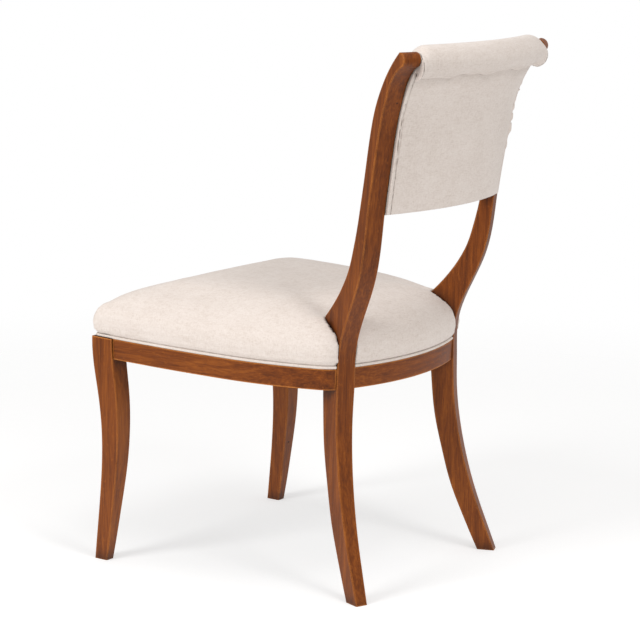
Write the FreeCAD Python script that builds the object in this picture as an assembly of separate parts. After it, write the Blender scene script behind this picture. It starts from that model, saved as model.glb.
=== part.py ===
import FreeCAD
import Part
import math
import os

from FreeCAD import Vector

# Klismos side chair. Millimetres, +Z up. The chair faces -Y, the sitter's left hand is +X.
# The origin is on the floor, under the middle of the chair's box.

# The width drives the whole plan: the front legs stand at its ends, the rear legs a set way inside
seat_half_width = 278.0

# Back: every piece of it is built round one upright axis, above the front of the seat
back_axis_y = -318.0
rail_radius = 500.0           # from that axis to the rear legs' back faces, at the seat rail
rear_leg_inset = 98.5         # from the seat's widest line in to the middle of a rear leg
plank_turn = math.degrees(math.asin((seat_half_width - rear_leg_inset) / rail_radius))

# Rear leg and stile, cut from one plank. Points are (distance from the back's axis, height).
plank_back_edge = [
    (581.2, 0), (563.0, 48), (541.7, 106), (522.0, 174), (508.4, 241), (501.0, 309), (499.7, 372),
    (501.2, 430), (512.5, 470), (525.5, 500), (549.3, 557), (558.5, 595), (564.5, 640), (570.0, 690),
    (576.5, 733), (587.8, 800), (596.7, 840), (606.0, 869), (615.5, 894), (627.0, 911), (641.0, 922.7),
]
plank_nose = [(641.0, 922.7), (651.5, 934.0), (637.4, 948.4)]
plank_front_low = [
    (549.4, 0), (536.0, 30), (517.2, 74), (497.8, 124), (479.5, 193), (466.5, 253), (459.5, 319),
    (455.5, 380), (451.5, 462),
]
plank_flare = [(451.5, 462), (452.0, 474), (457.0, 486)]
plank_front_high = [
    (457.0, 486), (487.0, 520), (503.8, 544.5), (519.0, 574), (530.0, 610), (538.5, 646), (546.5, 690),
    (553.2, 730), (560.5, 778), (567.0, 815), (578.2, 857), (590.6, 885), (603.4, 907.6), (619.0, 928.8),
    (637.4, 948.4),
]
plank_foot_width = 22.9       # across the plank, at the floor
plank_rail_width = 37.3       # at the seat rail
plank_top_width = 35.5        # at the scroll
plank_foot_shift = 14.5       # the plank's middle, outside its radius, at the floor
plank_rail_shift = -0.9
plank_top_shift = -14.9
plank_height = 950.0
arris = 1.6                   # rounding of the show edges

# Front leg. Outlines are (y, height) in side view, and (outside the seat's half width, height).
front_leg_rear_edge = [
    (-300.3, 0), (-292.5, 48), (-284.2, 106), (-275.5, 174), (-272.1, 241), (-275.2, 309), (-282.1, 362),
    (-283.0, 440),
]
front_leg_front_edge = [
    (-328.1, 0), (-322.2, 48), (-315.5, 106), (-310.0, 174), (-309.7, 241), (-317.4, 309), (-326.8, 362),
    (-327.3, 440),
]
front_leg_outside = [(-2.0, 0), (1.2, 121), (2.3, 241), (3.6, 362), (3.8, 440)]
front_leg_inside = [(-20.9, 0), (-28.0, 121), (-34.1, 241), (-36.6, 362), (-37.6, 440)]

# Seat frame. Its plan is made of arcs that run into one another.
rail_bottom = 361.9           # at the back of the rear legs
seat_slope = 1.677            # degrees, down towards the back
seat_pivot_y = 141.9          # the slope turns about this line
show_height = 36.5            # wood that shows below the welt
lip_height = 18.0             # tacking lip above it
lip_setback = 6.0
rail_thickness = 28.0
seat_widest_y = -301.5
side_radius = 2000.0
side_bend_y = -46.5           # where the side starts to turn in
side_bend_radius = 550.0
front_radius = 5000.0
front_middle_y = -334.5
front_corner_radius = 6.0
rear_face_setback = 3.4       # rear rail behind the rear legs' back faces
rear_corner_radius = 55.0
inner_front_corner_radius = 30.0
inner_rear_corner_radius = 135.0

# Corner blocks and their screws. Each block fills the corner outside a line, from a place on the
# front or rear rail to a place on the side rail.
block_height = 34.0
block_low = 8.0
front_block_line = [(seat_half_width - 113.0, -305.0), (seat_half_width - 28.0, -195.0)]
rear_block_line = [(seat_half_width - 194.0, 145.0), (seat_half_width - 58.0, 25.0)]
screw_diameter = 4.0
screw_head_diameter = 8.0
screw_head_height = 3.0
screw_level = 25.0
screw_play = 0.1
screw_grip = 18.0             # thread length in the rail
screw_pocket = 6.0            # depth of the head's pocket
front_screw_x = seat_half_width - 80.0
side_screw_y = -232.0
rear_screw_x = seat_half_width - 158.0
rear_side_screw_y = 58.0

# Dowels
dowel_diameter = 8.0
dowel_length = 40.0
side_dowel_length = 30.0      # from the side rail into the rear leg
dowel_glue_gap = 0.1          # between a dowel and its hole, all round
dowel_low = 12.0              # heights above the rail's underside
dowel_high = 38.0
back_dowel_diameter = 6.0
back_dowel_length = 30.0
back_dowel_shares = [0.28, 0.72]        # of the rail's height

# Seat upholstery
webbing_width = 50.0
webbing_thickness = 1.5
webbing_pitch = 100.0
webbing_count = 3
cloth = 1.5
cloth_gap = 0.3
welt_diameter = 5.6
welt_reach = 1.5              # the welt stands this far outside the rail
seat_cut_gap = 0.4            # between the seat cloth and the rear legs
foam_edge = 10.0              # the foam ends this far above the show wood
# Crown of the seat: (reach outside the rail, height above the show wood)
seat_crown = [
    (-3.4, 6.2), (3.0, 14.0), (5.2, 26.0), (4.0, 39.0), (-0.5, 51.5), (-8.5, 63.5), (-21.5, 75.0),
    (-42.0, 85.5), (-67.0, 92.8), (-98.0, 98.3), (-132.0, 102.0),
]
seat_middle_y = -80.0
crown_corner_growth = 0.55    # the corners grow rounder towards the crown, by this share of the inset
cambric = 0.8
cambric_inset = 9.0
tack_head_diameter = 6.0
tack_head_height = 1.2
tack_shank_diameter = 1.5
tack_shank_length = 8.0
tack_play = 0.05
tack_inset = 15.0             # from the rails' outer face
side_tacks = [-250.0, -190.0, -130.0, -70.0, -10.0, 50.0]
front_tack_share = [-0.65, -0.4, -0.14, 0.14, 0.4, 0.65]     # of the seat's half width
rear_tack_share = [-0.38, -0.13, 0.13, 0.38]

# Back frame
back_bottom = 672.0           # lower edge of the padding
lower_rail_bottom = 678.0
lower_rail_top = 724.0
crest_bottom = 866.0
crest_top = 915.0
back_rail_thickness = 15.0
board_thickness = 4.0
board_setback = 1.0           # board inside the stiles' back edges
board_top = 902.0
frame_depth = board_setback + board_thickness + back_rail_thickness
board_side_gap = 1.0
board_screw_diameter = 3.0
board_screw_head = 6.0
board_screw_length = 12.0
board_screw_shares = [-0.66, -0.33, 0.0, 0.33, 0.66]         # of the way from the middle to a stile
board_screw_flush = 0.4       # the heads' faces lie this far in the board
board_screw_rise = 20.0       # above the lower edge of each rail

# Back upholstery
back_bend = 800.0             # height where the scroll begins
back_top = 920.0              # the padding ends inside the roll
back_bottom_sag = 3.0
back_hollow = 2.0             # the padding's rear is drawn in below the roll
roll_neck_pad = 2.0           # padding behind the stiles, inside the roll
# (share of the way to a stile, padding in front of the stiles, padding behind the stiles)
back_crown = [(0.0, 26.0, 8.6), (0.38, 24.0, 8.4), (0.67, 17.5, 8.0), (0.975, 6.0, 6.2)]
roll_radius = 27.5
roll_centre = (627.0, 930.5)
roll_facing = 1.2
strip_width = 6.5
strip_depth = 0.7             # how far the strip reaches in front of the stiles' back edge


def outward(solid):
    # A solid whose faces look outwards
    if solid.Volume < 0:
        solid.reverse()
    return solid


def mirrored(shape):
    return shape.mirror(Vector(0, 0, 0), Vector(1, 0, 0))


def spline(points, plane):
    curve = Part.BSplineCurve()
    curve.interpolate([plane(a, z) for a, z in points])
    return curve.toShape()


def arc(points, plane):
    return Part.Arc(*[plane(a, z) for a, z in points]).toShape()


def side_view(y, z):
    return Vector(0, y, z)


def front_view(x, z):
    return Vector(x, 0, z)


def shifted(points, by):
    return [(a + by, z) for a, z in points]


def value_at(points, z):
    # Straight between the listed points
    for (a0, z0), (a1, z1) in zip(points, points[1:]):
        if z <= z1:
            return a0 + (a1 - a0) * (z - z0) / (z1 - z0)
    return points[-1][0]


def stand_on_radius(shape, angle):
    # From a drawing with the distance along X to its place on a radius of the back
    shape.rotate(Vector(0, 0, 0), Vector(0, 0, 1), 90 - angle)
    shape.translate(Vector(0, back_axis_y, 0))
    return shape


def on_seat(shape):
    # From a level seat to the sloping one
    shape.rotate(Vector(0, seat_pivot_y, 0), Vector(1, 0, 0), -seat_slope)
    shape.translate(Vector(0, 0, rail_bottom))
    return shape


# Rear legs

def plank_side(z, outwards):
    # How far a face of the plank lies outside its radius, at a height
    levels = [0.0, rail_bottom, plank_height]
    shifts = [plank_foot_shift, plank_rail_shift, plank_top_shift]
    widths = [plank_foot_width, plank_rail_width, plank_top_width]
    return [(s + outwards * w / 2, h) for s, w, h in zip(shifts, widths, levels)]


def eased(solid, least):
    # The long edges rounded over
    edges = [e for e in solid.Edges if e.Length > least and e.BoundBox.ZLength > least / 2]
    return solid.makeFillet(arris, edges)


def plank(gap=0.0, behind=0.0):
    # The left plank, swollen by a gap, and carried on behind its back edge to cut a slot
    back = spline(shifted(plank_back_edge, gap + behind), front_view)
    nose = arc(shifted(plank_nose, gap + behind), front_view)
    high = spline(shifted(plank_front_high, -gap), front_view)
    flare = arc(shifted(plank_flare, -gap), front_view)
    low = spline(shifted(plank_front_low, -gap), front_view)
    foot = Part.makeLine(low.Vertexes[0].Point, back.Vertexes[0].Point)
    edges = [back, nose, high, flare, low, foot]
    if gap + behind > 0:
        edges.append(Part.makeLine(nose.Vertexes[-1].Point, high.Vertexes[-1].Point))
    profile = Part.Face(Part.Wire(Part.__sortEdges__(edges)))
    deep = plank_rail_width * 2
    profile.translate(Vector(0, -deep, 0))
    body = profile.extrude(Vector(0, 2 * deep, 0))
    faces = plank_faces(gap)
    return stand_on_radius(body.common(faces), plank_turn)


def plank_faces(gap):
    # The plank's two leaning faces, as a long bar in the drawing plane of the plank
    outside = [Vector(0, -(v + gap), z) for v, z in plank_side(0, 1)]
    inside = [Vector(0, -(v - gap), z) for v, z in plank_side(0, -1)]
    ring = outside + inside[::-1]
    face = Part.Face(Part.makePolygon(ring + [ring[0]]))
    return face.extrude(Vector(1000, 0, 0))


def beyond_inner_face(gap):
    # Everything outside the left plank's inner face, less a gap
    inside = [Vector(0, -(v - gap), z) for v, z in plank_side(0, -1)]
    far = -300.0
    top = Vector(0, inside[-1].y + (inside[-1].y - inside[-2].y) * 0.1, plank_height * 1.06)
    ring = inside + [top, Vector(0, far, top.z), Vector(0, far, 0)]
    face = Part.Face(Part.makePolygon(ring + [ring[0]]))
    return stand_on_radius(face.extrude(Vector(1000, 0, 0)), plank_turn)


def between_stiles(shape, gap):
    cutter = beyond_inner_face(gap)
    return shape.cut(cutter).cut(mirrored(cutter))


# Front legs

def front_leg():
    rear = spline(front_leg_rear_edge, side_view)
    front = spline(front_leg_front_edge, side_view)
    foot = Part.makeLine(front.Vertexes[0].Point, rear.Vertexes[0].Point)
    head = Part.makeLine(front.Vertexes[-1].Point, rear.Vertexes[-1].Point)
    from_side = Part.Face(Part.Wire(Part.__sortEdges__([foot, rear, head, front])))
    from_side = from_side.extrude(Vector(seat_half_width * 2, 0, 0))
    outside = spline(shifted(front_leg_outside, seat_half_width), front_view)
    inside = spline(shifted(front_leg_inside, seat_half_width), front_view)
    foot = Part.makeLine(inside.Vertexes[0].Point, outside.Vertexes[0].Point)
    head = Part.makeLine(inside.Vertexes[-1].Point, outside.Vertexes[-1].Point)
    from_front = Part.Face(Part.Wire(Part.__sortEdges__([foot, outside, head, inside])))
    from_front.translate(Vector(0, -seat_half_width * 2, 0))
    from_front = from_front.extrude(Vector(0, seat_half_width * 3, 0))
    leg = from_side.common(from_front)
    # Above the show wood the leg steps in with the tacking lip
    reach = 400.0
    below = Part.makeBox(2 * reach, 2 * reach, reach + show_height, Vector(-reach, -reach, -reach))
    within = seat_prism(-lip_setback, show_height, show_height + lip_height)
    return leg.common(on_seat(below).fuse(on_seat(within)))


# Seat outline

def tangent_centre(c1, r1, c2, r2, r, outer):
    # Centre of the arc of radius r that runs inside two larger arcs, on the given side
    a = r1 - r
    b = r2 - r
    dx = c2[0] - c1[0]
    dy = c2[1] - c1[1]
    span = math.hypot(dx, dy)
    along = (a * a - b * b + span * span) / (2 * span)
    off = math.sqrt(a * a - along * along)
    mx = c1[0] + along * dx / span
    my = c1[1] + along * dy / span
    first = (mx + off * dy / span, my - off * dx / span)
    second = (mx - off * dy / span, my + off * dx / span)
    return max(first, second, key=outer)


def heading(centre, point):
    return math.atan2(point[1] - centre[1], point[0] - centre[0])


def seat_arcs(reach=0.0, front_corner=front_corner_radius, rear_corner=rear_corner_radius):
    # The right half of the outline, front to rear, as (centre, radius, first angle, last angle)
    # Each arc runs into the next, so only their radii and the corners' sizes are chosen
    front_c = (0.0, front_middle_y + front_radius)
    side_c = (seat_half_width - side_radius, seat_widest_y)
    turn = math.asin((side_bend_y - seat_widest_y) / side_radius)
    bend_gap = side_radius - side_bend_radius
    bend_c = (side_c[0] + bend_gap * math.cos(turn), side_c[1] + bend_gap * math.sin(turn))
    rear_c = (0.0, back_axis_y)
    rear_r = value_at(plank_back_edge, rail_bottom) - rear_face_setback
    rf = front_radius + reach
    rs = side_radius + reach
    rb = side_bend_radius + reach
    rr = rear_r + reach
    c1 = tangent_centre(front_c, rf, side_c, rs, front_corner, lambda p: p[0] - p[1])
    c2 = tangent_centre(bend_c, rb, rear_c, rr, rear_corner, lambda p: p[0] + p[1])
    down = -math.pi / 2
    a1 = heading(front_c, c1)
    a2 = heading(side_c, c1)
    a3 = heading(bend_c, c2)
    a4 = heading(rear_c, c2)
    return [
        (front_c, rf, down, a1),
        (c1, front_corner, a1, a2),
        (side_c, rs, a2, turn),
        (bend_c, rb, turn, a3),
        (c2, rear_corner, a3, a4),
        (rear_c, rr, a4, math.pi / 2),
    ]


def seat_wire(z, arcs):
    edges = []

    def at(centre, radius, angle, side):
        x = centre[0] + radius * math.cos(angle)
        y = centre[1] + radius * math.sin(angle)
        return Vector(x * side, y, z)

    def add(centre, radius, first, last, side):
        middle = (first + last) / 2
        points = [at(centre, radius, a, side) for a in (first, middle, last)]
        edges.append(Part.Arc(*points).toShape())

    front = arcs[0]
    rear = arcs[-1]
    add(front[0], front[1], -math.pi - front[3], front[3], 1)
    for centre, radius, first, last in arcs[1:-1]:
        add(centre, radius, first, last, 1)
    add(rear[0], rear[1], rear[2], math.pi - rear[2], 1)
    for centre, radius, first, last in reversed(arcs[1:-1]):
        add(centre, radius, last, first, -1)
    return Part.Wire(edges)


def seat_prism(reach, low, high, **corners):
    face = Part.Face(seat_wire(low, seat_arcs(reach, **corners)))
    return face.extrude(Vector(0, 0, high - low))


def seat_hollow(low, high):
    # Inside of the rails
    return seat_prism(
        -rail_thickness, low, high,
        front_corner=inner_front_corner_radius, rear_corner=inner_rear_corner_radius,
    )


def seat_ring():
    top = show_height + lip_height
    show = seat_prism(0.0, 0.0, show_height)
    lip = seat_prism(-lip_setback, 0.0, top)
    return show.fuse(lip).cut(seat_hollow(-1.0, top + 1.0)).removeSplitter()


# Seat upholstery

def crown_corner(reach):
    return front_corner_radius + max(0.0, -reach) * crown_corner_growth


def crown_solid(thinner):
    # Thinner all round: in at the sides, up at the lower edge and down at the top
    low = seat_crown[0][1]
    rise = seat_crown[-1][1] - low
    wires = []
    for reach, height in seat_crown:
        level = show_height + height + thinner * (1 - 2 * (height - low) / rise)
        wires.append(seat_wire(level, seat_arcs(reach - thinner, crown_corner(reach))))
    return outward(Part.makeLoft(wires, True, True))


def seat_cover():
    hem, low = seat_crown[0]
    floor = seat_prism(hem - cloth, 0.0, show_height + low + cloth, front_corner=crown_corner(hem))
    shell = crown_solid(0.0).cut(crown_solid(cloth)).cut(floor)
    inner = -lip_setback + cloth_gap
    top = show_height + low + cloth
    skirt = seat_prism(inner + cloth, show_height + cloth_gap, top)
    skirt = skirt.cut(seat_prism(inner, show_height, top + 1.0))
    return shell.fuse(skirt)


def seat_foam():
    # The foam lies on the webbing and wraps over the tacking lip
    webbing_top = show_height + lip_height + 2 * webbing_thickness
    foam = crown_solid(cloth + cloth_gap)
    foam = foam.cut(seat_prism(20.0, 0.0, show_height + foam_edge))
    return foam.cut(seat_prism(-lip_setback + cloth_gap, 0.0, webbing_top))


def seat_webbing():
    bands = []
    level = show_height + lip_height
    reach = seat_half_width * 2
    middle = (webbing_count - 1) / 2
    inside = seat_prism(-lip_setback - 4.0, level - 1.0, level + 10.0, front_corner=12.0)
    for i in range(webbing_count):
        place = (i - middle) * webbing_pitch - webbing_width / 2
        across = Part.makeBox(
            2 * reach, webbing_width, webbing_thickness, Vector(-reach, seat_middle_y + place, level)
        )
        along = Part.makeBox(
            webbing_width, 2 * reach, webbing_thickness,
            Vector(place, -reach, level + webbing_thickness),
        )
        bands += [across.common(inside), along.common(inside)]
    return bands


def seat_welt():
    reach = welt_reach - welt_diameter / 2
    path = seat_wire(show_height + welt_diameter / 2 + 0.1, seat_arcs(reach))
    start = path.Vertexes[0].Point
    tangent = path.Edges[0].tangentAt(path.Edges[0].FirstParameter)
    circle = Part.Wire(Part.makeCircle(welt_diameter / 2, start, tangent))
    return path.makePipeShell([circle], True, False)


# Dowels

def beside_leg(r, v, z):
    # A point on the left plank's radius: distance from the back's axis, side shift, height
    turn = math.radians(plank_turn)
    x = r * math.sin(turn) + v * math.cos(turn)
    y = back_axis_y + r * math.cos(turn) - v * math.sin(turn)
    return Vector(x, y, z)


def across_leg():
    turn = math.radians(plank_turn)
    return Vector(math.cos(turn), -math.sin(turn), 0)


def seat_frame_pegs(play):
    # Two dowels in each rail end, in the level seat's own heights
    half = dowel_length / 2 + play
    size = dowel_diameter / 2 + play
    leg_inner_x = seat_half_width + value_at(front_leg_inside, rail_bottom)
    leg_rear_y = value_at(front_leg_rear_edge, rail_bottom)
    front_y = front_middle_y + leg_inner_x ** 2 / (2 * front_radius) + rail_thickness / 2
    side_x = seat_half_width - rail_thickness / 2
    rear_r = value_at(plank_back_edge, rail_bottom) - rear_face_setback - rail_thickness / 2
    side_r = value_at(plank_front_low, rail_bottom) + plank_rail_width / 2
    inner_v = plank_side(0, -1)[1][0]
    outer_v = plank_side(0, 1)[1][0]
    pegs = []
    for z in (dowel_low, dowel_high):
        places = [
            (Vector(leg_inner_x, front_y, z), Vector(1, 0, 0), half),
            (Vector(side_x, leg_rear_y, z), Vector(0, 1, 0), half),
            (beside_leg(rear_r, inner_v, z), across_leg(), half),
            (beside_leg(side_r, outer_v, z), across_leg(), side_dowel_length / 2 + play),
        ]
        for middle, direction, reach in places:
            start = middle - direction * reach
            pegs.append(on_seat(Part.makeCylinder(size, 2 * reach, start, direction)))
    return pegs + [mirrored(p) for p in pegs]


def back_frame_pegs(play):
    half = back_dowel_length / 2 + play
    size = back_dowel_diameter / 2 + play
    pegs = []
    for low, high in ((lower_rail_bottom, lower_rail_top), (crest_bottom, crest_top)):
        for share in back_dowel_shares:
            z = low + (high - low) * share
            r = value_at(plank_back_edge, z) - board_setback - board_thickness - back_rail_thickness / 2
            start = beside_leg(r, value_at(plank_side(0, -1), z), z) - across_leg() * half
            pegs.append(Part.makeCylinder(size, 2 * half, start, across_leg()))
    return pegs + [mirrored(p) for p in pegs]


# Corner blocks

def block(line, leg):
    (x0, y0), (x1, y1) = line
    top = block_low + block_height
    far_x = seat_half_width * 1.4
    far_y = y0 * 3
    ring = [(x0, y0), (x1, y1), (far_x, y1), (far_x, far_y), (x0, far_y), (x0, y0)]
    face = Part.Face(Part.makePolygon([Vector(x, y, block_low) for x, y in ring]))
    prism = face.extrude(Vector(0, 0, block_height)).common(seat_hollow(block_low, top))
    return on_seat(prism).cut(leg)


def on_line(line, x=None, y=None):
    (x0, y0), (x1, y1) = line
    if x is None:
        return x0 + (x1 - x0) * (y - y0) / (y1 - y0)
    return y0 + (y1 - y0) * (x - x0) / (x1 - x0)


def block_screw_places():
    # Head point and direction of the four screws of the left half, with the wood before the rail
    inner_r = value_at(plank_back_edge, rail_bottom) - rear_face_setback - rail_thickness
    front_inner = front_middle_y + front_screw_x ** 2 / (2 * front_radius) + rail_thickness
    rear_inner = back_axis_y + math.sqrt(inner_r ** 2 - rear_screw_x ** 2)
    places = []
    y = on_line(front_block_line, x=front_screw_x)
    places.append((Vector(front_screw_x, y, screw_level), Vector(0, -1, 0), y - front_inner))
    y = side_screw_y
    x = on_line(front_block_line, y=y)
    places.append((Vector(x, y, screw_level), Vector(1, 0, 0), side_inner_x(y) - x))
    y = on_line(rear_block_line, x=rear_screw_x)
    places.append((Vector(rear_screw_x, y, screw_level), Vector(0, 1, 0), rear_inner - y))
    y = rear_side_screw_y
    x = on_line(rear_block_line, y=y)
    places.append((Vector(x, y, screw_level), Vector(1, 0, 0), side_inner_x(y) - x))
    return places


def side_outer_x(y, inset=0.0):
    front_corner, side, bend = seat_arcs()[1:4]
    centre, radius, first, last = side if y < side_bend_y else bend
    return centre[0] + math.sqrt((radius - inset) ** 2 - (y - centre[1]) ** 2)


def side_inner_x(y):
    return side_outer_x(y, rail_thickness)


def block_screws(play):
    solids = []
    for start, direction, wood in block_screw_places():
        head = start + direction * screw_pocket
        length = wood - screw_pocket + screw_grip
        shank = Part.makeCylinder(screw_diameter / 2 + play, length + play, head, direction)
        cone = Part.makeCone(
            screw_head_diameter / 2 + play, screw_diameter / 2 + play, screw_head_height, head, direction
        )
        solid = shank.fuse(cone)
        if play > 0:
            back = head - direction * 30.0
            solid = solid.fuse(Part.makeCylinder(screw_head_diameter / 2 + play, 30.0, back, direction))
        solids.append(on_seat(solid))
    return solids + [mirrored(s) for s in solids]


# Dust cover

def dust_cover():
    return on_seat(seat_prism(-cambric_inset, -cambric, 0.0))


def tacks(play):
    front_tacks = [seat_half_width * share for share in front_tack_share]
    rear_tacks = [seat_half_width * share for share in rear_tack_share]
    places = [(x, front_middle_y + x * x / (2 * front_radius) + tack_inset) for x in front_tacks]
    rear_r = value_at(plank_back_edge, rail_bottom) - rear_face_setback - tack_inset
    places += [(x, back_axis_y + math.sqrt(rear_r ** 2 - x * x)) for x in rear_tacks]
    for y in side_tacks:
        x = side_outer_x(y) - tack_inset
        places += [(x, y), (-x, y)]
    solids = []
    for x, y in places:
        shank = Part.makeCylinder(
            tack_shank_diameter / 2 + play, tack_shank_length + play, Vector(x, y, -cambric)
        )
        if play == 0:
            head = Vector(x, y, -cambric - tack_head_height)
            shank = shank.fuse(Part.makeCylinder(tack_head_diameter / 2, tack_head_height, head))
        solids.append(on_seat(shank))
    return solids


# Back frame

def back_revolve(points, degrees):
    # A closed profile of (distance, height), swept round the back's axis
    ring = [Vector(r, 0, z) for r, z in points]
    face = Part.Face(Part.makePolygon(ring + [ring[0]]))
    face.rotate(Vector(0, 0, 0), Vector(0, 0, 1), 90 - degrees)
    solid = face.revolve(Vector(0, 0, 0), Vector(0, 0, 1), 2 * degrees)
    solid.translate(Vector(0, back_axis_y, 0))
    return outward(solid)


def band(outer, inner, low, high):
    # Between two distances inside the stiles' back edge, and between two heights
    levels = [low] + [z for r, z in plank_back_edge if low < z < high] + [high]
    rear = [(value_at(plank_back_edge, z) - outer, z) for z in levels]
    front = [(value_at(plank_back_edge, z) - inner, z) for z in levels]
    return back_revolve(rear + front[::-1], plank_turn + 5.0)


def frame_bands():
    near = board_setback + board_thickness
    lower = band(near, frame_depth, lower_rail_bottom, lower_rail_top)
    crest = band(near, frame_depth, crest_bottom, crest_top)
    board = band(board_setback, near, lower_rail_bottom, board_top)
    return lower, crest, board


def board_screws(play):
    solids = []
    for low in (lower_rail_bottom + board_screw_rise, crest_bottom + board_screw_rise):
        r = value_at(plank_back_edge, low) - board_setback
        for share in board_screw_shares:
            turn = math.radians(plank_turn * share)
            direction = Vector(-math.sin(turn), -math.cos(turn), 0)
            head = Vector(0, back_axis_y, low) - direction * r
            cone_start = head + direction * board_screw_flush
            cone = Part.makeCone(
                board_screw_head / 2 + play, board_screw_diameter / 2 + play, 2.0, cone_start, direction
            )
            solid = Part.makeCylinder(
                board_screw_diameter / 2 + play, board_screw_length + play, cone_start, direction
            ).fuse(cone)
            if play > 0:
                depth = board_screw_flush + 4.0
                head_radius = board_screw_head / 2 + play
                pocket = Part.makeCylinder(head_radius, depth, cone_start - direction * depth, direction)
                solid = solid.fuse(pocket)
            solids.append(solid)
    return solids


# Back padding

def back_section(angle, front_pad, rear_pad, inset):
    # One upright slice of the padding, at an angle off the chair's centre line
    low = back_bottom + inset
    roll_front = roll_centre[0] - math.sqrt(roll_radius ** 2 - (roll_centre[1] - back_top) ** 2)

    def rear(z):
        pad = roll_neck_pad if z == back_top else rear_pad
        return value_at(plank_back_edge, z) + pad - inset

    def front(z):
        if z == back_top:
            return roll_front + 1.5 + inset
        return value_at(plank_front_high, z) - front_pad + inset

    def up(f, z0, z1, hollow=0.0):
        middle = (z0 + z1) / 2
        return arc([(f(z0), z0), (f(middle) - hollow, middle), (f(z1), z1)], front_view)

    low_rear = (rear(low), low)
    low_front = (front(low), low)
    sag = ((rear(low) + front(low)) / 2, low - back_bottom_sag)
    neck = (back_bend + back_top) / 2
    bulge = ((front(back_bend) + front(back_top)) / 2 - 4.0, neck)
    top_front = (front(back_top), back_top)
    edges = [
        up(rear, low, back_bend),
        up(rear, back_bend, back_top, back_hollow),
        Part.makeLine(front_view(rear(back_top), back_top), front_view(*top_front)),
        arc([(front(back_bend), back_bend), bulge, top_front], front_view),
        up(front, low, back_bend),
        arc([low_front, sag, low_rear], front_view),
    ]
    return stand_on_radius(Part.Wire(Part.__sortEdges__(edges)), angle)


def back_padding(inset):
    slices = [(-a, front, rear) for a, front, rear in reversed(back_crown[1:])] + list(back_crown)
    wires = [back_section(plank_turn * share, front, rear, inset) for share, front, rear in slices]
    return outward(Part.makeLoft(wires, True, False))


def roll(inset):
    radius = roll_radius - inset
    circle = Part.makeCircle(radius, Vector(roll_centre[0], 0, roll_centre[1]), Vector(0, 1, 0))
    face = Part.Face(Part.Wire(circle))
    reach = plank_turn + 5.0
    face.rotate(Vector(0, 0, 0), Vector(0, 0, 1), 90 - reach)
    solid = face.revolve(Vector(0, 0, 0), Vector(0, 0, 1), 2 * reach)
    solid.translate(Vector(0, back_axis_y, 0))
    return outward(solid)


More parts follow.
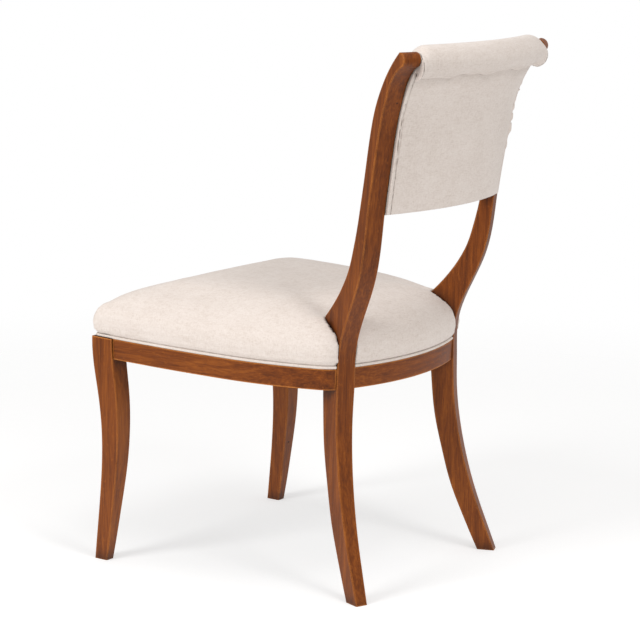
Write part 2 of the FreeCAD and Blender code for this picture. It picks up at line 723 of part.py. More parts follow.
def build():
    os.makedirs("parts", exist_ok=True)
    nodes = {}

    # Legs
    leg_front = front_leg()
    leg_rear = plank()
    fronts = [leg_front, mirrored(leg_front)]
    rears = [leg_rear, mirrored(leg_rear)]

    # Rails, cut from one ring by the legs
    slot = plank(0.0, 40.0)
    ring = on_seat(seat_ring())
    for leg in fronts + rears + [slot, mirrored(slot)]:
        ring = ring.cut(leg)
    rails = sorted(ring.Solids, key=lambda s: s.Volume)[-4:]
    front_rail = min(rails, key=lambda s: s.CenterOfMass.y)
    rear_rail = max(rails, key=lambda s: s.CenterOfMass.y)
    left_rail = max(rails, key=lambda s: s.CenterOfMass.x)
    right_rail = min(rails, key=lambda s: s.CenterOfMass.x)

    # Corner blocks
    front_block = block(front_block_line, leg_front)
    rear_block = block(rear_block_line, leg_rear)
    blocks = [front_block, mirrored(front_block), rear_block, mirrored(rear_block)]

    # Back frame
    lower, crest, board = frame_bands()
    lower = between_stiles(lower, 0.0)
    crest = between_stiles(crest, 0.0)
    board = between_stiles(board, board_side_gap)

    # Holes for dowels, screws and tacks
    frame_holes = Part.makeCompound(seat_frame_pegs(dowel_glue_gap))
    screw_holes = Part.makeCompound(block_screws(screw_play))
    tack_holes = Part.makeCompound(tacks(tack_play))
    back_holes = Part.makeCompound(back_frame_pegs(dowel_glue_gap))
    board_holes = Part.makeCompound(board_screws(screw_play))
    fronts = [eased(leg, 20.0).cut(frame_holes) for leg in fronts]
    rears = [eased(leg, 20.0).cut(frame_holes).cut(back_holes) for leg in rears]
    rails = [rail.cut(frame_holes).cut(screw_holes).cut(tack_holes) for rail in
             (front_rail, rear_rail, left_rail, right_rail)]
    blocks = [piece.cut(screw_holes) for piece in blocks]
    lower = lower.cut(back_holes).cut(board_holes)
    crest = crest.cut(back_holes).cut(board_holes)
    board = board.cut(board_holes)

    nodes["front_leg_left"], nodes["front_leg_right"] = fronts
    nodes["rear_leg_left"], nodes["rear_leg_right"] = rears
    names = ["front_rail", "rear_rail", "side_rail_left", "side_rail_right"]
    nodes.update(zip(names, rails))
    names = ["front_block_left", "front_block_right", "rear_block_left", "rear_block_right"]
    nodes.update(zip(names, blocks))
    nodes["seat_frame_dowels"] = Part.makeCompound(seat_frame_pegs(0.0))
    nodes["corner_block_screws"] = Part.makeCompound(block_screws(0.0))

    # Seat upholstery, notched round the rear legs
    notch = plank(seat_cut_gap, 40.0)
    notch = notch.fuse(mirrored(notch))
    nodes["seat_webbing"] = Part.makeCompound([on_seat(b) for b in seat_webbing()])
    nodes["seat_foam"] = on_seat(seat_foam()).cut(notch)
    nodes["seat_cover"] = on_seat(seat_cover()).cut(notch)
    nodes["seat_welt"] = on_seat(seat_welt()).cut(notch)
    cambric_sheet = dust_cover().cut(notch)
    for leg in fronts:
        cambric_sheet = cambric_sheet.cut(leg)
    nodes["dust_cover"] = cambric_sheet.cut(tack_holes)
    nodes["dust_cover_tacks"] = Part.makeCompound(tacks(0.0))

    # Back
    nodes["lower_back_rail"] = lower
    nodes["crest_rail"] = crest
    nodes["back_board"] = board
    nodes["back_frame_dowels"] = Part.makeCompound(back_frame_pegs(0.0))
    nodes["back_board_screws"] = Part.makeCompound(board_screws(0.0))

    padding = back_padding(0.0)
    socket = back_padding(-cloth_gap)
    core = band(board_setback - cloth_gap, frame_depth, back_bottom - 30.0, back_top)
    beside = beyond_inner_face(cloth_gap)
    edge_zone = beyond_inner_face(cloth_gap + strip_width).cut(beside)
    behind = band(-30.0, strip_depth, back_bottom - 70.0, crest_top + 5.0)
    strip = padding.common(edge_zone).common(behind)
    nodes["back_edge_strip_left"] = strip
    nodes["back_edge_strip_right"] = mirrored(strip)
    behind = band(-31.0, strip_depth + cloth_gap, back_bottom - 70.0, crest_top + 5.0)
    room = beyond_inner_face(2 * cloth_gap + strip_width).common(behind)
    rooms = room.fuse(mirrored(room))
    skin = padding.cut(back_padding(cloth))
    nodes["back_cover"] = between_stiles(skin, cloth_gap).cut(rooms)
    filling = between_stiles(back_padding(cloth + cloth_gap), cloth + 2 * cloth_gap)
    pieces = filling.cut(rooms).cut(core).Solids
    nodes["back_foam"] = min(pieces, key=lambda s: s.CenterOfMass.y)
    nodes["back_wadding"] = max(pieces, key=lambda s: s.CenterOfMass.y)

    # Roll
    facing_zone = beyond_inner_face(cloth_gap + roll_facing).cut(beside)
    inside_roll = core.fuse(socket)
    facing = roll(0.0).common(facing_zone).cut(inside_roll)
    nodes["roll_facing_left"] = facing
    nodes["roll_facing_right"] = mirrored(facing)
    room = 2 * cloth_gap + roll_facing
    nodes["roll_cover"] = between_stiles(roll(0.0).cut(roll(cloth)), room).cut(inside_roll)
    nodes["roll_foam"] = between_stiles(roll(cloth + cloth_gap), room).cut(inside_roll)

    for name, shape in nodes.items():
        box = shape.BoundBox
        size = [round(v, 1) for v in (box.XLength, box.YLength, box.ZLength)]
        print(name, shape.isValid(), len(shape.Solids), round(shape.Volume / 1000, 1), size)
        shape.exportStep("parts/" + name + ".step")


build()
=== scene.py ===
import bmesh
import bpy
import math
from mathutils import Matrix, Vector
from mathutils.bvhtree import BVHTree


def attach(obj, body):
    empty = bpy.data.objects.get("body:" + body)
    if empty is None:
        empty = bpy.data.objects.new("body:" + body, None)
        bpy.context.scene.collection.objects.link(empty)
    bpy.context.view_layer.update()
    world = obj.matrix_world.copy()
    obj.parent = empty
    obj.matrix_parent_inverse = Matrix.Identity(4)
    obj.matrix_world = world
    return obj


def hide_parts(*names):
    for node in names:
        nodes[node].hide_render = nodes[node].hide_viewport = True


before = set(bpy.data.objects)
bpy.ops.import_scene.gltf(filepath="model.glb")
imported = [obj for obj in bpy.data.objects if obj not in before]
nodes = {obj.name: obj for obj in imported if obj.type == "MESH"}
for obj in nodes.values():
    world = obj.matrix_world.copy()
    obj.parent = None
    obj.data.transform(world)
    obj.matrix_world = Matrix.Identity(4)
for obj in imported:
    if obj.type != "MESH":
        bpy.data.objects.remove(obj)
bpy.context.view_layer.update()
scene = bpy.context.scene


# Shader helper: sums on sockets are written as plain expressions

class Link:
    def __init__(self, tree, socket):
        self.tree = tree
        self.socket = socket

    def math(self, operation, *others):
        node = self.tree.nodes.new("ShaderNodeMath")
        node.operation = operation
        for slot, value in zip(node.inputs, (self, *others)):
            plug(self.tree, slot, value)
        return Link(self.tree, node.outputs[0])

    def __add__(self, other):
        return self.math("ADD", other)

    def __mul__(self, other):
        return self.math("MULTIPLY", other)

    def __sub__(self, other):
        return self.math("SUBTRACT", other)

    def __rsub__(self, other):
        return self.math("MULTIPLY_ADD", -1.0, other)


def plug(tree, slot, value):
    if isinstance(value, Link):
        tree.links.new(value.socket, slot)
    elif isinstance(value, tuple) and len(value) == 3 and slot.type == "RGBA":
        slot.default_value = (*value, 1.0)
    else:
        slot.default_value = value


class Finish:
    # One material. add() makes any node from its type, its settings and its inputs.
    def __init__(self, name):
        self.material = bpy.data.materials.new(name)
        self.material.use_nodes = True
        self.tree = self.material.node_tree
        self.tree.nodes.clear()
        self.place = self.add("ShaderNodeTexCoord", output="Object")

    def add(self, kind, settings=None, output=0, stops=None, **inputs):
        node = self.tree.nodes.new(kind)
        for key, value in (settings or {}).items():
            setattr(node, key, value)
        if stops:
            ramp = node.color_ramp
            while len(ramp.elements) < len(stops):
                ramp.elements.new(0.5)
            for element, (spot, colour) in zip(ramp.elements, stops):
                element.position = spot
                element.color = (*colour, 1.0)
        for key, value in inputs.items():
            plug(self.tree, node.inputs[key.replace("_", " ")], value)
        return Link(self.tree, node.outputs[output])

    def noise(self, scale, detail=3.0, rough=0.5, stretch=(1, 1, 1), warp=0.0):
        where = self.add("ShaderNodeMapping", Vector=self.place, Scale=stretch)
        return self.add(
            "ShaderNodeTexNoise", output="Fac", Vector=where, Scale=scale, Detail=detail,
            Roughness=rough, Distortion=warp,
        )

    def between(self, value, low, high, to=(0.0, 1.0)):
        # Smooth step of a value between two levels
        return self.add(
            "ShaderNodeMapRange", {"interpolation_type": "SMOOTHSTEP"}, Value=value,
            **{"From Min": low, "From Max": high, "To Min": to[0], "To Max": to[1]},
        )

    def mix(self, share, first, second):
        node = self.tree.nodes.new("ShaderNodeMix")
        node.data_type = "RGBA"
        plug(self.tree, node.inputs[0], share)
        plug(self.tree, node.inputs[6], first)
        plug(self.tree, node.inputs[7], second)
        return Link(self.tree, node.outputs[2])

    def shade(self, colour, roughness, height=None, lift=0.001, strength=1.0, **steady):
        shader = self.tree.nodes.new("ShaderNodeBsdfPrincipled")
        plug(self.tree, shader.inputs["Base Color"], colour)
        plug(self.tree, shader.inputs["Roughness"], roughness)
        for key, value in steady.items():
            plug(self.tree, shader.inputs[key.replace("_", " ")], value)
        if height is not None:
            bump = self.add("ShaderNodeBump", Height=height, Distance=lift, Strength=strength)
            plug(self.tree, shader.inputs["Normal"], bump)
        out = self.tree.nodes.new("ShaderNodeOutputMaterial")
        self.tree.links.new(shader.outputs[0], out.inputs[0])
        return self.material


# Finishes

showWoodLook = {
    "dark": (0.090, 0.0195, 0.0022),
    "body": (0.190, 0.045, 0.0042),
    "light": (0.33, 0.092, 0.0095),
    "wornEdgeAndHighlight": (0.66, 0.235, 0.045),       # where the stain has come off the edges, and a painted highlight along them
    "holeAndShadeDark": (0.020, 0.005, 0.002),       # dark of the worm holes, and of the painted shade in corners and where parts meet
    "edgeReach": 0.0045,
    "paintedShadeReach": 0.034,
    "roughness": 0.42,
    "grain": 420.0,
    "streaks": 90.0,
    "boards": 9.0,
    "pores": 900.0,
    "flecks": 260.0,
    "wearAndHighlightScale": 34.0,
    "wormHoles": 26.0,
    "drawnOut": 0.045,                    # how far the grain is drawn out along the piece
    "fleckLength": 0.35,
}


def showWood(name, along):
    # Stained hardwood with its grain along one axis (0, 1 or 2) of the piece
    look = showWoodLook
    finish = Finish(name)
    stretch = [1.0, 1.0, 1.0]
    stretch[along] = look["drawnOut"]
    boardStretch = [1.0, 1.0, 1.0]
    boardStretch[along] = look["drawnOut"] * 2.0
    fleckStretch = [1.0, 1.0, 1.0]
    fleckStretch[along] = look["fleckLength"]
    fine = finish.noise(look["grain"], 4.0, 0.62, stretch, warp=0.15)
    streak = finish.noise(look["streaks"], 3.0, 0.55, stretch, warp=0.3)
    board = finish.noise(look["boards"], 2.0, 0.5, boardStretch)
    tone = fine * 0.38 + streak * 0.38 + board * 0.24
    colour = finish.add(
        "ShaderNodeValToRGB", stops=[(0.36, look["dark"]), (0.5, look["body"]), (0.66, look["light"])],
        Fac=tone,
    )
    # Pores: short dark dashes along the grain
    pores = finish.between(finish.noise(look["pores"], 2.0, 0.6, stretch), 0.62, 0.72)
    colour = finish.mix(pores * 0.55, colour, look["dark"])
    # Ray flecks: small paler dashes
    flecks = finish.between(finish.noise(look["flecks"], 1.0, 0.5, fleckStretch), 0.64, 0.72)
    colour = finish.mix(flecks * 0.35, colour, look["light"])
    # Edges lightened, from the normal's turn within a few millimetres: partly stain come off the edges,
    # partly a painted highlight
    normal = finish.add("ShaderNodeNewGeometry", output="Normal")
    soft = finish.add("ShaderNodeBevel", {"samples": 6}, Radius=look["edgeReach"])
    turned = finish.add("ShaderNodeVectorMath", {"operation": "DOT_PRODUCT"}, output="Value")
    dot = turned.socket.node
    plug(finish.tree, dot.inputs[0], normal)
    plug(finish.tree, dot.inputs[1], soft)
    wearAndHighlightPatches = finish.noise(look["wearAndHighlightScale"], 4.0, 0.6)
    edge = finish.between(1.0 - turned, 0.006, 0.10) * finish.between(wearAndHighlightPatches, 0.3, 0.62, (0.45, 1.0))
    colour = finish.mix(edge * 0.9, colour, look["wornEdgeAndHighlight"])
    # Painted shade: darker in corners and where parts meet, found by the AO node
    corner = finish.add(
        "ShaderNodeAmbientOcclusion", {"samples": 6}, output="AO",
        Distance=look["paintedShadeReach"],
    )
    shadeShare = finish.between(corner, 0.40, 0.92, (1.0, 0.0))
    colour = finish.mix(shadeShare * 0.8, colour, look["holeAndShadeDark"])
    # Worm holes and small dents
    spots = finish.add(
        "ShaderNodeTexVoronoi", output="Distance", Vector=finish.place, Scale=look["wormHoles"],
    )
    chosen = finish.between(finish.noise(11.0, 1.0), 0.52, 0.6)
    hole = finish.between(spots, 0.035, 0.065, (1.0, 0.0)) * chosen
    colour = finish.mix(hole, colour, look["holeAndShadeDark"])
    gloss = fine * 0.16 + streak * 0.1 + (look["roughness"] - 0.12)
    height = fine * 0.25 + streak * 0.3 - hole * 1.6 - pores * 0.3
    return finish.shade(colour, gloss, height, 0.0006, 0.6, Specular_IOR_Level=0.22, Coat_Weight=0.03,
                        Coat_Roughness=0.25)


bareWoodLook = {"grain": 160.0, "rings": 24.0, "pale": 1.18, "deep": 0.62}


def bareWood(name, tint):
    look = bareWoodLook
    finish = Finish(name)
    grain = finish.noise(look["grain"], 4.0, 0.6, (1.0, 1.0, 0.1), warp=0.3)
    rings = finish.noise(look["rings"], 2.0, 0.5, (1.0, 1.0, 0.2))
    pale = tuple(min(1.0, c * look["pale"]) for c in tint)
    deep = tuple(c * look["deep"] for c in tint)
    colour = finish.add("ShaderNodeValToRGB", stops=[(0.35, deep), (0.52, tint), (0.7, pale)],
                        Fac=grain * 0.6 + rings * 0.4)
    return finish.shade(colour, grain * 0.2 + 0.55, grain, 0.0005, 0.6)


clothLook = {
    "pale": (0.83, 0.755, 0.70),
    "body": (0.765, 0.68, 0.622),
    "deep": (0.64, 0.55, 0.485),
    "fold": (0.27, 0.22, 0.185),
    "foldReach": 0.014,
    "threads": 620.0,
    "slubs": 150.0,
    "heather": 230.0,
    "clouds": 14.0,
}


def coverCloth(name):
    # Heathered linen: threads both ways with slubs, and pale and deep fibres mixed in
    look = clothLook
    finish = Finish(name)
    across = finish.noise(look["threads"], 2.0, 0.6, (0.22, 0.22, 1.0))
    upright = finish.noise(look["threads"], 2.0, 0.6, (1.0, 1.0, 0.16))
    sideways = finish.noise(look["threads"], 2.0, 0.6, (0.16, 1.0, 1.0))
    slubs = finish.noise(look["slubs"], 3.0, 0.6, (0.3, 0.3, 1.0))
    heather = finish.noise(look["heather"], 3.0, 0.65)
    cloudy = finish.noise(look["clouds"], 3.0, 0.5)
    tone = across * 0.2 + upright * 0.2 + sideways * 0.14 + slubs * 0.16 + heather * 0.18 + cloudy * 0.12
    colour = finish.add(
        "ShaderNodeValToRGB", stops=[(0.36, look["deep"]), (0.5, look["body"]), (0.62, look["pale"])],
        Fac=tone,
    )
    # Shade held in the folds and beside the wood
    fold = finish.add(
        "ShaderNodeAmbientOcclusion", {"samples": 6}, output="AO", Distance=look["foldReach"],
    )
    shaded = finish.between(fold, 0.25, 0.85, (1.0, 0.0)) * 0.6
    colour = finish.mix(shaded, colour, look["fold"])
    height = across * 0.4 + upright * 0.4 + slubs * 0.5 + heather * 0.3
    return finish.shade(colour, 0.92, height, 0.0007, 0.55, Sheen_Weight=0.25, Sheen_Roughness=0.5,
                        Specular_IOR_Level=0.2)


cambricLook = {"fibre": 500.0, "dark": (0.012, 0.012, 0.013), "light": (0.045, 0.043, 0.042)}


def blackCambric(name):
    look = cambricLook
    finish = Finish(name)
    fibre = finish.noise(look["fibre"], 3.0, 0.7)
    colour = finish.mix(finish.between(fibre, 0.4, 0.7), look["dark"], look["light"])
    return finish.shade(colour, 0.85, fibre, 0.0004, 0.7, Specular_IOR_Level=0.2)


webbingLook = {"threads": 300.0, "dark": (0.22, 0.15, 0.08), "light": (0.52, 0.40, 0.24)}


def juteWebbing(name):
    look = webbingLook
    finish = Finish(name)
    warp = finish.noise(look["threads"], 2.0, 0.6, (1.0, 0.2, 1.0))
    weft = finish.noise(look["threads"], 2.0, 0.6, (0.2, 1.0, 1.0))
    threads = warp * 0.5 + weft * 0.5
    colour = finish.mix(threads, look["dark"], look["light"])
    return finish.shade(colour, 0.9, threads, 0.001, 0.8)


steelLook = {"dullness": 300.0, "dark": (0.36, 0.35, 0.33), "light": (0.58, 0.57, 0.54)}


def steel(name):
    look = steelLook
    finish = Finish(name)
    dull = finish.noise(look["dullness"], 3.0)
    colour = finish.mix(dull, look["dark"], look["light"])
    return finish.shade(colour, dull * 0.3 + 0.25, dull, 0.0002, 0.4, Metallic=1.0)


finishes = {
    "upright": showWood("showWoodUpright", 2),
    "crosswise": showWood("showWoodCrosswise", 0),
    "lengthwise": showWood("showWoodLengthwise", 1),
    "frameWood": bareWood("frameWood", (0.45, 0.29, 0.15)),
    "dowelWood": bareWood("dowelWood", (0.56, 0.40, 0.23)),
    "steel": steel("zincSteel"),
    "cloth": coverCloth("linenCloth"),
    "cambric": blackCambric("blackCambric"),
    "webbing": juteWebbing("juteWebbing"),
}
print("finishes made")

finishOf = {
    "upright": ["front_leg_left", "front_leg_right", "rear_leg_left", "rear_leg_right"],
    "crosswise": ["front_rail", "rear_rail"],
    "lengthwise": ["side_rail_left", "side_rail_right"],
    "frameWood": ["front_block_left", "front_block_right", "rear_block_left", "rear_block_right",
                  "lower_back_rail", "crest_rail", "back_board"],
    "dowelWood": ["seat_frame_dowels", "back_frame_dowels"],
    "steel": ["corner_block_screws", "dust_cover_tacks", "back_board_screws"],
    "webbing": ["seat_webbing"],
    "cambric": ["dust_cover"],
}
for finishName, members in finishOf.items():
    for member in members:
        mesh = nodes[member].data
        mesh.materials.clear()
        mesh.materials.append(finishes[finishName])
print("frame nodes dressed")


# Soft pieces

def copyOf(*names):
    # The mesh of some CAD nodes as one, merged
    bm = bmesh.new()
    for name in names:
        bm.from_mesh(nodes[name].data)
    bmesh.ops.remove_doubles(bm, verts=bm.verts, dist=1e-5)
    return bm


def surfaceOf(*names):
    # The same mesh, ready to be searched
    bm = copyOf(*names)
    surface = BVHTree.FromBMesh(bm)
    bm.free()
    return surface


def opened(piece):
    bm = bmesh.new()
    bm.from_mesh(piece.data)
    return bm


def closed(piece, bm):
    bm.to_mesh(piece.data)
    bm.free()


def ramp(value, start, width):
    # From 0 at the start to 1 a width further on. A negative width runs downwards.
    return min(1.0, max(0.0, (value - start) / width))


def newPiece(name, bm, finishName):
    mesh = bpy.data.meshes.new(name)
    bm.to_mesh(mesh)
    bm.free()
    piece = bpy.data.objects.new(name, mesh)
    scene.collection.objects.link(piece)
    mesh.materials.append(finishes[finishName])
    return piece


def applied(piece):
    # The piece with its modifiers made part of its mesh
    graph = bpy.context.evaluated_depsgraph_get()
    graph.update()
    mesh = bpy.data.meshes.new_from_object(piece.evaluated_get(graph))
    piece.modifiers.clear()
    old = piece.data
    piece.data = mesh
    bpy.data.meshes.remove(old)


def remeshed(piece, voxel, smooth):
    modifier = piece.modifiers.new("even", "REMESH")
    modifier.mode = "VOXEL"
    modifier.voxel_size = voxel
    modifier = piece.modifiers.new("ease", "SMOOTH")
    modifier.factor = 0.5
    modifier.iterations = smooth
    applied(piece)


def keepLargest(piece):
    # Drops the closed inner shells that the remesh leaves
    bm = opened(piece)
    left = set(bm.verts)
    islands = []
    while left:
        seed = left.pop()
        island = {seed}
        front = [seed]
        while front:
            for edge in front.pop().link_edges:
                for v in edge.verts:
                    if v not in island:
                        island.add(v)
                        front.append(v)
        left -= island
        islands.append(island)
    largest = max(islands, key=len)
    bmesh.ops.delete(bm, geom=[v for v in bm.verts if v not in largest], context="VERTS")
    closed(piece, bm)


def inflated(piece, look, held):
    # Cloth under pressure. held(point) gives how firmly a place is tacked down, from 0 to 1.
    before = [v.co.copy() for v in piece.data.vertices]
    group = piece.vertex_groups.new(name="tacked")
    for v in piece.data.vertices:
        group.add([v.index], held(v.co), "REPLACE")
    cloth = piece.modifiers.new("cloth", "CLOTH")
    cloth.settings.quality = 6
    cloth.settings.use_pressure = True
    cloth.settings.uniform_pressure_force = look["pressure"]
    cloth.settings.vertex_group_mass = "tacked"
    cloth.settings.tension_stiffness = look["tension"]
    cloth.settings.compression_stiffness = look["tension"]
    cloth.settings.bending_stiffness = look["bending"]
    cloth.settings.effector_weights.gravity = 0.0
    cloth.collision_settings.use_collision = False
    for step in range(1, look["frames"] + 1):
        scene.frame_set(step)
    graph = bpy.context.evaluated_depsgraph_get()
    swollen = piece.evaluated_get(graph).to_mesh()
    for v, rest, moved in zip(piece.data.vertices, before, swollen.vertices):
        step = moved.co - rest
        if step.length > look["cap"]:
            step.length = look["cap"]
        v.co = rest + step * (1.0 - held(rest))
    piece.modifiers.clear()
    piece.vertex_groups.clear()
    scene.frame_set(1)
    print(piece.name, "swollen", len(before), "points")


def subdivided(piece):
    piece.modifiers.new("fine", "SUBSURF").levels = 1
    applied(piece)


def settled(piece, outside, held, reach=0.005):
    # Where the cloth is held it lies on the CAD surface, so that its edges stay crisp
    bm = opened(piece)
    bm.normal_update()
    for v in bm.verts:
        share = held(v.co)
        if share <= 0.0:
            continue
        spot = outside.ray_cast(v.co + v.normal * reach, -v.normal, 2 * reach)[0]
        if spot is not None:
            v.co = v.co.lerp(spot, share)
    closed(piece, bm)


def evenedTop(piece):
    bm = opened(piece)
    top = [v for v in bm.verts if aboveShowWood(v.co) > seatLook["evenAbove"]]
    for step in range(seatLook["evenSteps"]):
        bmesh.ops.smooth_vert(bm, verts=top, factor=0.5, use_axis_x=True, use_axis_y=True, use_axis_z=True)
    closed(piece, bm)


def skirt(piece):
    # The lower edge of the cloth is turned out onto the welt
    look = seatLook
    bm = opened(piece)
    bm.normal_update()
    for v in bm.verts:
        high = aboveShowWood(v.co)
        if look["skirtFrom"] < high < look["skirtTop"] and abs(v.normal.z) < look["skirtSteep"]:
            out = Vector((v.normal.x, v.normal.y, 0.0)).normalized()
            share = 1.0 - high / look["skirtTop"]
            v.co += out * look["skirtOut"] * share - look["up"] * look["skirtDown"] * share
    closed(piece, bm)


def pulls(piece):
    # Shallow valleys where the cloth is drawn towards the rear legs
    look = seatLook
    for v in piece.data.vertices:
        high = ramp(aboveShowWood(v.co), look["pullLow"], look["pullRise"])
        x = abs(v.co.x)
        y = v.co.y
        (ax, ay), (bx, by) = look["pullStart"], look["pullEnd"]
        along = ((x - ax) * (bx - ax) + (y - ay) * (by - ay)) / ((bx - ax) ** 2 + (by - ay) ** 2)
        t = ramp(along, 0.0, 1.0)
        off = math.hypot(x - ax - t * (bx - ax), y - ay - t * (by - ay))
        width = look["pullWidth"] * (0.7 + 0.8 * t)
        v.co.z -= look["pullDepth"] * high * (1.0 - t) * math.exp(-0.5 * (off / width) ** 2)


def shadedSmooth(piece):
    for face in piece.data.polygons:
        face.use_smooth = True


backAxis = Vector((0.0, -0.318, 0.0))   # the upright line that the back is curved round


def backPlace(point):
    # (angle off centre, distance from the back's axis, height)
    x = point.x
    y = point.y - backAxis.y
    return math.atan2(x, y), math.hypot(x, y), point.z


seatSlope = math.radians(1.677)                     # how far the seat leans back
seatLook = {
    "voxel": 0.006, "smooth": 3, "pressure": 4.0, "tension": 15.0, "bending": 0.5,
    "frames": 20, "cap": 0.004,
    "pivot": Vector((0, 0.1419, 0.3619)),           # the rails' underside, where the slope turns
    "up": Vector((0, math.sin(seatSlope), math.cos(seatSlope))),
    "show": 0.0365,                                 # wood below the welt
    "lipStart": 0.002,
    "rimTop": 0.030, "rimFade": 0.03,               # held fully up to here, and free this much higher
    "legNear": 0.006, "legFade": 0.02,
    "evenAbove": 0.06, "evenSteps": 14,
    "skirtFrom": 0.004, "skirtTop": 0.020, "skirtOut": 0.0028, "skirtDown": 0.0012, "skirtSteep": 0.9,
    # The pulls in the cloth: from the tip of a rear leg's flare to mid seat
    "pullStart": (0.158, 0.085), "pullEnd": (0.02, -0.10), "pullWidth": 0.022, "pullDepth": 0.0055,
    "pullLow": 0.045, "pullRise": 0.03,
}


def aboveShowWood(point):
    # Height over the sloping line where the show wood ends
    return (point - seatLook["pivot"]).dot(seatLook["up"]) - seatLook["show"]


def seatCushion():
    look = seatLook
    cover = copyOf("seat_cover", "seat_foam")
    outside = BVHTree.FromBMesh(cover)
    posts = surfaceOf("rear_leg_left", "rear_leg_right")
    # The lip of the rails fills the recess under the foam
    for name in ("front_rail", "rear_rail", "side_rail_left", "side_rail_right"):
        lip = copyOf(name)
        level = look["pivot"] + look["up"] * (look["show"] + look["lipStart"])
        bmesh.ops.bisect_plane(lip, geom=lip.verts[:] + lip.edges[:] + lip.faces[:],
                               plane_co=level, plane_no=look["up"], clear_inner=True)
        bmesh.ops.holes_fill(lip, edges=lip.edges)
        mesh = bpy.data.meshes.new("lip")
        lip.to_mesh(mesh)
        lip.free()
        cover.from_mesh(mesh)
        bpy.data.meshes.remove(mesh)
    piece = newPiece("seat_cushion", cover, "cloth")
    remeshed(piece, look["voxel"], look["smooth"])
    keepLargest(piece)

    def held(p):
        # Tacked down along the welt and where it is cut round the rear legs
        rim = 1.0 - ramp(aboveShowWood(p), look["rimTop"], look["rimFade"])
        near = posts.find_nearest(p)[3]
        leg = 1.0 - ramp(near, look["legNear"], look["legFade"])
        return max(rim, leg)

    inflated(piece, look, held)
    evenedTop(piece)
    subdivided(piece)
    settled(piece, outside, held)
    pulls(piece)
    skirt(piece)
    shadedSmooth(piece)
    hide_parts("seat_cover", "seat_foam")
    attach(piece, "root")


backLook = {
    "voxel": 0.004, "smooth": 5, "pressure": 3.0, "tension": 15.0, "bending": 0.5,
    "frames": 20, "cap": 0.004,
    "sideFrom": 16.2, "sideFade": 1.6,              # degrees off centre
    "lowEdge": 0.682, "highEdge": 0.89, "edgeFade": 0.01,
}


def backPanel():
    look = backLook
    body = copyOf(
        "back_cover", "back_foam", "back_wadding", "back_board", "lower_back_rail", "crest_rail",
    )
    outside = surfaceOf("back_cover")
    piece = newPiece("back_panel", body, "cloth")
    remeshed(piece, look["voxel"], look["smooth"])
    keepLargest(piece)

    def held(p):
        # Tacked down along all four edges
        angle = backPlace(p)[0]
        side = ramp(abs(angle), math.radians(look["sideFrom"]), math.radians(look["sideFade"]))
        low = ramp(p.z, look["lowEdge"], -look["edgeFade"])
        high = ramp(p.z, look["highEdge"], look["edgeFade"])
        return max(side, low, high)

    inflated(piece, look, held)
    subdivided(piece)
    settled(piece, outside, held)
    shadedSmooth(piece)
    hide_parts("back_cover", "back_foam", "back_wadding")
    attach(piece, "root")


rollLook = {
    "voxel": 0.0045, "smooth": 3, "pressure": 3.0, "tension": 15.0, "bending": 0.5,
    "frames": 20, "cap": 0.003,
    "centre": (0.627, 0.9305),                      # distance from the back's axis, and height
    "taperFrom": 15.4, "end": 18.1, "taper": 0.18,  # degrees, degrees, share of the radius
    "lean": (0.0085, -0.0085),                      # how far the ends' middle moves back and down
    "sag": 0.0018, "sagFade": 0.02,
    "seamAt": 17.25, "seamWidth": 0.10, "seamDepth": 0.0012, "seamRadius": 0.025,
    "heldFrom": 17.0, "heldFade": 1.2,              # degrees off centre
}


def rollShape(piece):
    # The roll is drawn in at its ends, and its underside sags a little between the tacks
    look = rollLook
    reachMiddle, heightMiddle = look["centre"]
    for v in piece.data.vertices:
        angle, reach, height = backPlace(v.co)
        turned = math.degrees(angle)
        end = ramp(abs(turned), look["taperFrom"], look["end"] - look["taperFrom"]) ** 2
        keep = 1.0 - look["taper"] * end
        low = ramp(height, heightMiddle, -look["sagFade"])
        wave = math.sin(turned * 0.55 + 0.9) + 0.5 * math.sin(turned * 1.3)
        reach = reachMiddle + (reach - reachMiddle) * keep + look["lean"][0] * end
        height = heightMiddle + (height - heightMiddle) * keep + look["lean"][1] * end
        height -= look["sag"] * low * wave * (1.0 - end)
        # A sewn seam near each end
        off = (abs(turned) - look["seamAt"]) / look["seamWidth"]
        sunk = 1.0 - look["seamDepth"] / look["seamRadius"] * math.exp(-0.5 * off * off)
        reach = reachMiddle + (reach - reachMiddle) * sunk
        height = heightMiddle + (height - heightMiddle) * sunk
        v.co = Vector((math.sin(angle) * reach, math.cos(angle) * reach, height)) + backAxis


def backRoll():
    look = rollLook
    outside = surfaceOf("roll_cover")
    body = copyOf("roll_cover", "roll_foam", "crest_rail", "back_board")
    piece = newPiece("back_roll", body, "cloth")
    remeshed(piece, look["voxel"], look["smooth"])
    keepLargest(piece)

    def held(p):
        # Tacked down at both ends
        angle = backPlace(p)[0]
        return ramp(abs(angle), math.radians(look["heldFrom"]), math.radians(look["heldFade"]))

    inflated(piece, look, held)
    subdivided(piece)
    settled(piece, outside, lambda p: 1.0)
    rollShape(piece)
    shadedSmooth(piece)
    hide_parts("roll_cover", "roll_foam")
    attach(piece, "root")


def trim(name, node, voxel, shape=None):
    # A small sewn piece, softened from its own solid
    piece = newPiece(name, copyOf(node), "cloth")
    remeshed(piece, voxel, 3)
    if shape:
        shape(piece)
    shadedSmooth(piece)
    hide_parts(node)
    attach(piece, "root")


seatCushion()
backPanel()
backRoll()
for side in ("left", "right"):
    trim("edge_strip_" + side, "back_edge_strip_" + side, 0.0011)
    trim("roll_end_" + side, "roll_facing_" + side, 0.0006, rollShape)
trim("seat_piping", "seat_welt", 0.0009)
print("soft pieces made")


# Floor, lights and camera

stageLook = {"floor": (0.62, 0.62, 0.62), "glow": 0.50, "half": 3.0, "fadeFrom": 1.0, "fadeTo": 2.6}

lightLook = {
    "world": 0.50,
    # name: (place, aim, size, power)
    "lamps": {
        "keyLamp": ((3.0, -0.9, 2.2), (0.0, 0.0, 0.5), 1.4, 56.0),
        "backLamp": ((1.0, 3.0, 3.0), (0.0, 0.0, 0.8), 1.2, 34.0),
        "topLamp": ((0.3, 0.9, 3.4), (0.0, 0.0, 0.5), 1.2, 16.0),
    },
}


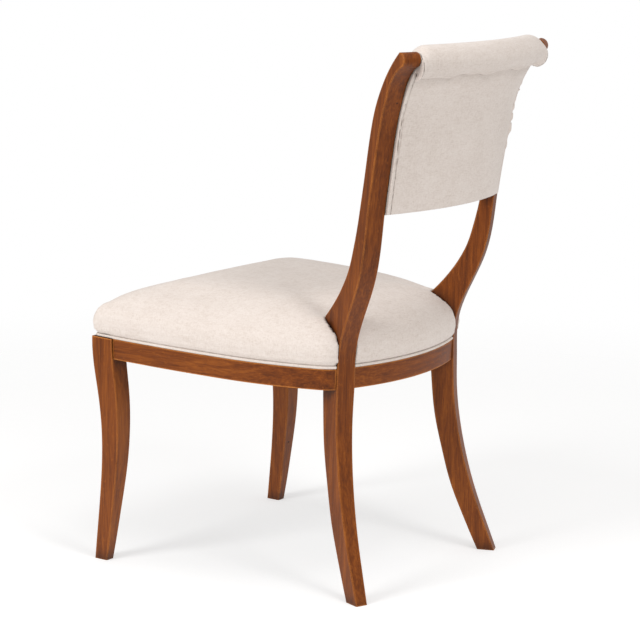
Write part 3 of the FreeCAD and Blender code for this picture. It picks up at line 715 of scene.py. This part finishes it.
def floorAndBackdrop():
    look = stageLook
    bm = bmesh.new()
    bmesh.ops.create_grid(bm, x_segments=1, y_segments=1, size=look["half"])
    mesh = bpy.data.meshes.new("floor")
    bm.to_mesh(mesh)
    bm.free()
    floor = bpy.data.objects.new("floor", mesh)
    scene.collection.objects.link(floor)
    finish = Finish("paleFloor")
    far = finish.add("ShaderNodeVectorMath", {"operation": "LENGTH"}, output="Value")
    plug(finish.tree, far.socket.node.inputs[0], finish.place)
    solid = finish.between(far, look["fadeFrom"], look["fadeTo"], (1.0, 0.0))
    mesh.materials.append(finish.shade(
        look["floor"], 0.9, Specular_IOR_Level=0.0, Alpha=solid,
        Emission_Color=(1.0, 1.0, 1.0), Emission_Strength=look["glow"],
    ))

    world = bpy.data.worlds.new("studio")
    scene.world = world
    world.use_nodes = True
    tree = world.node_tree
    tree.nodes.clear()
    path = tree.nodes.new("ShaderNodeLightPath")
    white = tree.nodes.new("ShaderNodeBackground")
    white.inputs["Color"].default_value = (1, 1, 1, 1)
    white.inputs["Strength"].default_value = 1.0
    dim = tree.nodes.new("ShaderNodeBackground")
    dim.inputs["Color"].default_value = (1.0, 0.985, 0.97, 1)
    dim.inputs["Strength"].default_value = lightLook["world"]
    mix = tree.nodes.new("ShaderNodeMixShader")
    out = tree.nodes.new("ShaderNodeOutputWorld")
    tree.links.new(path.outputs["Is Camera Ray"], mix.inputs[0])
    tree.links.new(dim.outputs[0], mix.inputs[1])
    tree.links.new(white.outputs[0], mix.inputs[2])
    tree.links.new(mix.outputs[0], out.inputs[0])


def lamps():
    for name, (place, aim, size, power) in lightLook["lamps"].items():
        lamp = bpy.data.lights.new(name, "AREA")
        lamp.shape = "DISK"
        lamp.size = size
        lamp.energy = power
        holder = bpy.data.objects.new(name, lamp)
        scene.collection.objects.link(holder)
        holder.location = place
        holder.rotation_euler = (Vector(place) - Vector(aim)).to_track_quat("Z", "Y").to_euler()


cameraLook = {
    "place": (3.579385, 2.431745, 1.260271),
    "azimuth": 124.5219,
    "elevation": 10.7521,
    "roll": 0.9365,
    "lens": 137.59,
}


def camera():
    look = cameraLook
    data = bpy.data.cameras.new("viewpoint")
    data.lens = look["lens"]
    data.sensor_width = 36.0
    data.clip_end = 60.0
    holder = bpy.data.objects.new("viewpoint", data)
    scene.collection.objects.link(holder)
    a, e = math.radians(look["azimuth"]), math.radians(look["elevation"])
    back = Vector((math.sin(a) * math.cos(e), -math.cos(a) * math.cos(e), math.sin(e)))
    turn = (-back).to_track_quat("-Z", "Y").to_matrix().to_4x4()
    turn = turn @ Matrix.Rotation(math.radians(look["roll"]), 4, "Z")
    holder.matrix_world = Matrix.Translation(look["place"]) @ turn
    scene.camera = holder


floorAndBackdrop()
lamps()
camera()
scene.view_settings.view_transform = "Standard"
print("stage set")
